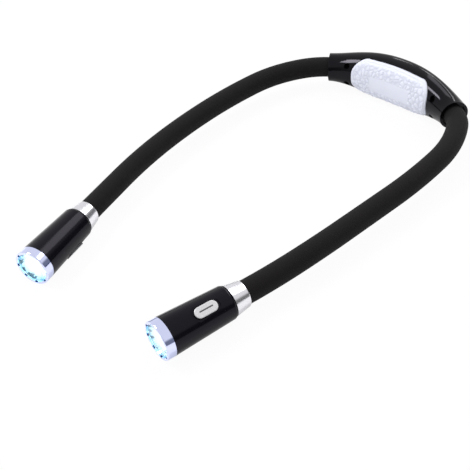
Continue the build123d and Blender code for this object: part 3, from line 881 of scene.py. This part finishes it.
def finePad(plan):
    # the solid pad with an even skin, fine enough for its bumps
    mesh = bmesh.new()
    mesh.from_mesh(nodes["neck_pad"].data)
    bmesh.ops.remove_doubles(mesh, verts=mesh.verts, dist=plan["weld"])
    rough = bpy.data.meshes.new("padRough")
    mesh.to_mesh(rough)
    mesh.free()
    padSolid = bpy.data.objects.new("padSolid", rough)
    scene.collection.objects.link(padSolid)
    remesh = padSolid.modifiers.new("remesh", "REMESH")
    remesh.mode = "VOXEL"
    remesh.voxel_size = plan["voxel"]
    fine = bpy.data.meshes.new_from_object(padSolid.evaluated_get(bpy.context.evaluated_depsgraph_get()))
    bpy.data.objects.remove(padSolid)
    mesh = bmesh.new()
    mesh.from_mesh(fine)
    for _ in range(plan["smoothPasses"]):
        bmesh.ops.smooth_vert(mesh, verts=mesh.verts, factor=plan["smoothFactor"],
                              use_axis_x=True, use_axis_y=True, use_axis_z=True)
    mesh.normal_update()
    return mesh


def padRelief(plan, place):
    # how high the skin stands at a place on the pad's face, and its painted shade, darker in the gaps between the
    # bumps
    x, z = place.x, place.z - armPlan["axisHeight"]
    halfHeight = plan["halfHeight"] + plan["bulge"] * (1 - (x / plan["halfLength"]) ** 2)
    depth = insideOutline(x, z, plan["halfLength"], halfHeight, plan["corner"])
    bare = insideOutline(x, z, plan["bareLength"], plan["bareHeight"], plan["bareCorner"])
    rim = exp(-((depth - plan["rimPlace"]) / plan["rimWidth"]) ** 2) * plan["rimRise"]
    zone = ease((depth - plan["bumpStart"]) / plan["bumpFade"])
    zone *= ease((-bare - plan["bumpStop"]) / plan["bumpFade"])
    spot = Vector((x, plan["bumpDepth"] * place.y, z)) / plan["bumpSize"]
    nearest, second = noise.voronoi(spot)[0][:2]
    bumps = ease((second - nearest) / plan["bumpGap"])
    # the second value is painted shade: dark in the gaps between bumps, pale on their tops
    return rim + bumps * zone * plan["bumpRise"], plan["plainShade"] * (1 - zone) + zone * bumps


def buildPad(plan):
    mesh = finePad(plan)
    paintedBumpShade = mesh.verts.layers.float.new("paintedBumpShade")
    moves = []
    for vert in mesh.verts:
        facing = ease((-vert.normal.y - plan["faceStart"]) / plan["faceRange"])
        # the painted shade goes into a vertex layer that colours the pad
        rise, vert[paintedBumpShade] = padRelief(plan, vert.co)
        moves.append(vert.normal * facing * rise)
    for vert, move in zip(mesh.verts, moves):
        vert.co += move
    piece = finishPiece("neckPadSoft", mesh, "pad_white", plan["smoothAngle"])
    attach(piece, "housing")
    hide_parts("neck_pad")


buildPad(padPlan)
print("neck light: pad built")


# The camera sees a white studio. Mirrors see a pale ceiling over a horizon that is pale on the left and dark
# on the right, and three soft boxes. The fill is the world's light on the object, and leftEdge and
# ceilingEdge are parts of a unit direction.
studioPlan = {
    "floorSize": 16.0,
    "floorColour": (0.9, 0.9, 0.9),
    "floorRoughness": 0.9,
    "floorGlow": 0.95,
    "floorInMirrors": 0.42,
    "zenith": 0.82,
    "horizon": 0.17,
    "leftHorizon": 0.85,
    "leftEdge": (-0.4, 0.2),
    "ceilingEdge": (0.30, 0.52),
    "fill": 0.68,
    "white": (1, 1, 1),
    "lamps": {
        "backBox": {"place": (0.05, 0.57, 0.92), "aim": (0, -0.2, 0), "size": (0.80, 0.4), "power": 3.0},
        "topStrip": {"place": (-0.25, 0.92, 0.68), "aim": (0, 0, 0), "size": (0.8, 0.08), "power": 1.6},
        "frontBox": {"place": (-0.53, -0.45, 0.90), "aim": (0, 0, 0), "size": (0.45, 0.22), "power": 6.0},
    },
}


def rayKinds(shading):
    # which rays see the background: those of the camera or through glass, and those of mirrors
    rays = shading.add("ShaderNodeLightPath")
    seen = Amount(shading, rays.outputs["Is Camera Ray"])
    seen = seen.maths("MAXIMUM", seen, Amount(shading, rays.outputs["Is Transmission Ray"]))
    return seen, Amount(shading, rays.outputs["Is Glossy Ray"])


def addFloor(plan):
    mesh = bmesh.new()
    bmesh.ops.create_grid(mesh, x_segments=1, y_segments=1, size=plan["floorSize"] / 2)
    data = bpy.data.meshes.new("floor")
    mesh.to_mesh(data)
    mesh.free()
    floor = bpy.data.objects.new("floor", data)
    scene.collection.objects.link(floor)
    made = Finish("floor white", Base_Color=plan["floorColour"], Roughness=plan["floorRoughness"])
    glow = made.add("ShaderNodeEmission", None, {"Color": plan["white"], "Strength": 1.0})
    seen, mirrored = rayKinds(made)
    share = seen.maths("MAXIMUM", seen, mirrored * plan["floorInMirrors"]) * plan["floorGlow"]
    mix = made.add("ShaderNodeMixShader", None, {0: share, 1: made.shader.outputs[0], 2: glow.outputs[0]})
    made.feed(made.tree.nodes["Material Output"].inputs[0], mix.outputs[0])
    data.materials.append(made.material)


def addWorld(plan):
    world = bpy.data.worlds.new("studio")
    world.use_nodes = True
    scene.world = world
    sky = Shading(world.node_tree)
    background = sky.tree.nodes["Background"]
    sky.feed(background.inputs["Color"], plan["white"])
    direction = sky.add("ShaderNodeTexCoord").outputs["Generated"]
    height, rightward = sky.split(direction, "Z"), sky.split(direction, "X")
    leftward = 1.0 - rightward.between(*plan["leftEdge"])
    horizon = leftward * (plan["leftHorizon"] - plan["horizon"]) + plan["horizon"]
    overhead = height.between(*plan["ceilingEdge"])
    ceiling = overhead * plan["zenith"] + (1.0 - overhead) * horizon
    seen, mirrored = rayKinds(sky)
    lit = mirrored * ceiling + (1.0 - mirrored) * plan["fill"]
    sky.feed(background.inputs["Strength"], seen + (1.0 - seen) * lit)


def addLamp(name, lamp):
    data = bpy.data.lights.new(name, "AREA")
    data.shape = "RECTANGLE"
    data.size, data.size_y = lamp["size"]
    data.energy = lamp["power"]
    light = bpy.data.objects.new(name, data)
    scene.collection.objects.link(light)
    light.location = lamp["place"]
    toward = Vector(lamp["aim"]) - Vector(lamp["place"])
    light.rotation_euler = toward.to_track_quat("-Z", "Y").to_euler()


addFloor(studioPlan)
addWorld(studioPlan)
for lampName, lamp in studioPlan["lamps"].items():
    addLamp(lampName, lamp)
scene.view_settings.view_transform = "Standard"
print("neck light: studio set")
